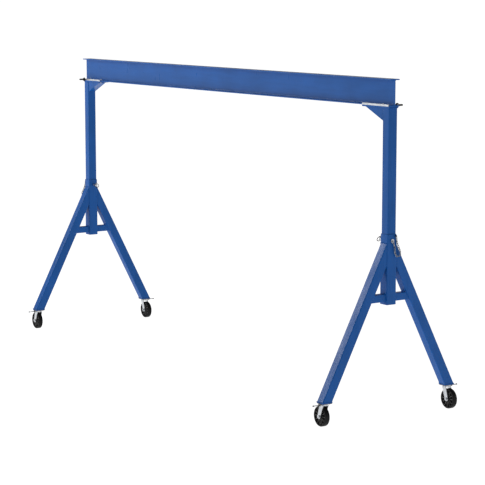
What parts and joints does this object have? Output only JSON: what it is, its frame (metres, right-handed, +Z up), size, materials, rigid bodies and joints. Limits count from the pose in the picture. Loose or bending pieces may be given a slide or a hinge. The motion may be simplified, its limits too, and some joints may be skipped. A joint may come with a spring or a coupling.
{
  "type": "portable gantry crane",
  "caption": "Portable gantry crane: I-beam on telescoping square uprights, each pinned in the sleeve of an A-frame leg set that rolls on locking swivel casters.",
  "frame": {"origin": "on the floor, midway between the two A-frames and on the centre plane of the beam", "axes": "+X along the beam towards the right-hand A-frame, +Y across the crane, +Z up"},
  "size_m": [6.3892, 1.8042, 3.353],
  "materials": {
    "blue_paint": "glossy sprayed enamel over structural steel",
    "zinc": "bright zinc plate",
    "black_steel": "black oxide steel",
    "dark_wire": "dark spring wire",
    "black_wheel": "moulded black with ribs"
  },
  "bodies": {
    "beam_unit": {"i_beam": "blue_paint", "upright_left": "blue_paint", "seat_plate_left": "blue_paint", "gusset_left": "blue_paint", "side_bars_left": "zinc", "clamp_screw_left": "black_steel", "flange_bolts_left": "zinc", "upright_right": "blue_paint", "seat_plate_right": "blue_paint", "gusset_right": "blue_paint", "side_bars_right": "zinc", "clamp_screw_right": "black_steel", "flange_bolts_right": "zinc"},
    "left_frame": {"sleeve_left": "blue_paint", "front_leg_left": "blue_paint", "rear_leg_left": "blue_paint", "cross_bars_left": "blue_paint", "foot_plates_left": "blue_paint", "caster_bolts_left": "zinc", "chain_anchor_left": "black_steel", "chain_left": "zinc", "caster_plate_lf": "zinc", "caster_plate_lr": "zinc"},
    "left_lock_pin": {"lock_pin_left": "zinc", "linch_pin_left": "zinc"},
    "left_linch_ring": {"linch_ring_left": "dark_wire"},
    "fork_lf": {"fork_lf": "zinc", "axle_lf": "zinc"},
    "wheel_lf": {"wheel_lf": "black_wheel", "bearing_lf": "zinc"},
    "swivel_lock_lf": {"swivel_lock_lf": "zinc"},
    "fork_lr": {"fork_lr": "zinc", "axle_lr": "zinc"},
    "wheel_lr": {"wheel_lr": "black_wheel", "bearing_lr": "zinc"},
    "swivel_lock_lr": {"swivel_lock_lr": "zinc"},
    "right_frame": {"sleeve_right": "blue_paint", "front_leg_right": "blue_paint", "rear_leg_right": "blue_paint", "cross_bars_right": "blue_paint", "foot_plates_right": "blue_paint", "caster_bolts_right": "zinc", "chain_anchor_right": "black_steel", "chain_right": "zinc", "caster_plate_rf": "zinc", "caster_plate_rr": "zinc"},
    "right_lock_pin": {"lock_pin_right": "zinc", "linch_pin_right": "zinc"},
    "right_linch_ring": {"linch_ring_right": "dark_wire"},
    "fork_rf": {"fork_rf": "zinc", "axle_rf": "zinc"},
    "wheel_rf": {"wheel_rf": "black_wheel", "bearing_rf": "zinc"},
    "swivel_lock_rf": {"swivel_lock_rf": "zinc"},
    "fork_rr": {"fork_rr": "zinc", "axle_rr": "zinc"},
    "wheel_rr": {"wheel_rr": "black_wheel", "bearing_rr": "zinc"},
    "swivel_lock_rr": {"swivel_lock_rr": "zinc"}
  },
  "joints": [
    {"name": "left_frame_slide", "type": "slide", "parent": "beam_unit", "child": "left_frame", "axis": [0, 0, 1], "range_m": [-0.4572, 0]},
    {"name": "left_pin_slide", "type": "slide", "parent": "left_frame", "child": "left_lock_pin", "axis": [-1, 0, 0], "range_m": [0, 0.05], "deforming": ["chain_left"]},
    {"name": "left_ring_swing", "type": "hinge", "parent": "left_lock_pin", "child": "left_linch_ring", "pos_m": [-2.9138, 0, 1.795], "axis": [0, -1, 0], "range_deg": [0, 100]},
    {"name": "swivel_lf", "type": "hinge", "parent": "left_frame", "child": "fork_lf", "pos_m": [-3.048, -0.762, 0.225], "axis": [0, 0, 1], "continuous": true},
    {"name": "wheel_spin_lf", "type": "hinge", "parent": "fork_lf", "child": "wheel_lf", "pos_m": [-3.093, -0.762, 0.1016], "axis": [0, 1, 0], "continuous": true},
    {"name": "plunger_lf", "type": "slide", "parent": "left_frame", "child": "swivel_lock_lf", "axis": [0, 1, 0], "range_m": [0, 0.01]},
    {"name": "swivel_lr", "type": "hinge", "parent": "left_frame", "child": "fork_lr", "pos_m": [-3.048, 0.762, 0.225], "axis": [0, 0, 1], "continuous": true},
    {"name": "wheel_spin_lr", "type": "hinge", "parent": "fork_lr", "child": "wheel_lr", "pos_m": [-3.003, 0.762, 0.1016], "axis": [0, 1, 0], "continuous": true},
    {"name": "plunger_lr", "type": "slide", "parent": "left_frame", "child": "swivel_lock_lr", "axis": [0, -1, 0], "range_m": [0, 0.01]},
    {"name": "right_frame_slide", "type": "slide", "parent": "beam_unit", "child": "right_frame", "axis": [0, 0, 1], "range_m": [-0.4572, 0]},
    {"name": "right_pin_slide", "type": "slide", "parent": "right_frame", "child": "right_lock_pin", "axis": [1, 0, 0], "range_m": [0, 0.05], "deforming": ["chain_right"]},
    {"name": "right_ring_swing", "type": "hinge", "parent": "right_lock_pin", "child": "right_linch_ring", "pos_m": [2.9138, 0, 1.795], "axis": [0, 1, 0], "range_deg": [0, 100]},
    {"name": "swivel_rf", "type": "hinge", "parent": "right_frame", "child": "fork_rf", "pos_m": [3.048, -0.762, 0.225], "axis": [0, 0, 1], "continuous": true},
    {"name": "wheel_spin_rf", "type": "hinge", "parent": "fork_rf", "child": "wheel_rf", "pos_m": [3.003, -0.762, 0.1016], "axis": [0, 1, 0], "continuous": true},
    {"name": "plunger_rf", "type": "slide", "parent": "right_frame", "child": "swivel_lock_rf", "axis": [0, 1, 0], "range_m": [0, 0.01]},
    {"name": "swivel_rr", "type": "hinge", "parent": "right_frame", "child": "fork_rr", "pos_m": [3.048, 0.762, 0.225], "axis": [0, 0, 1], "continuous": true},
    {"name": "wheel_spin_rr", "type": "hinge", "parent": "fork_rr", "child": "wheel_rr", "pos_m": [3.093, 0.762, 0.1016], "axis": [0, 1, 0], "continuous": true},
    {"name": "plunger_rr", "type": "slide", "parent": "right_frame", "child": "swivel_lock_rr", "axis": [0, -1, 0], "range_m": [0, 0.01]}
  ]
}
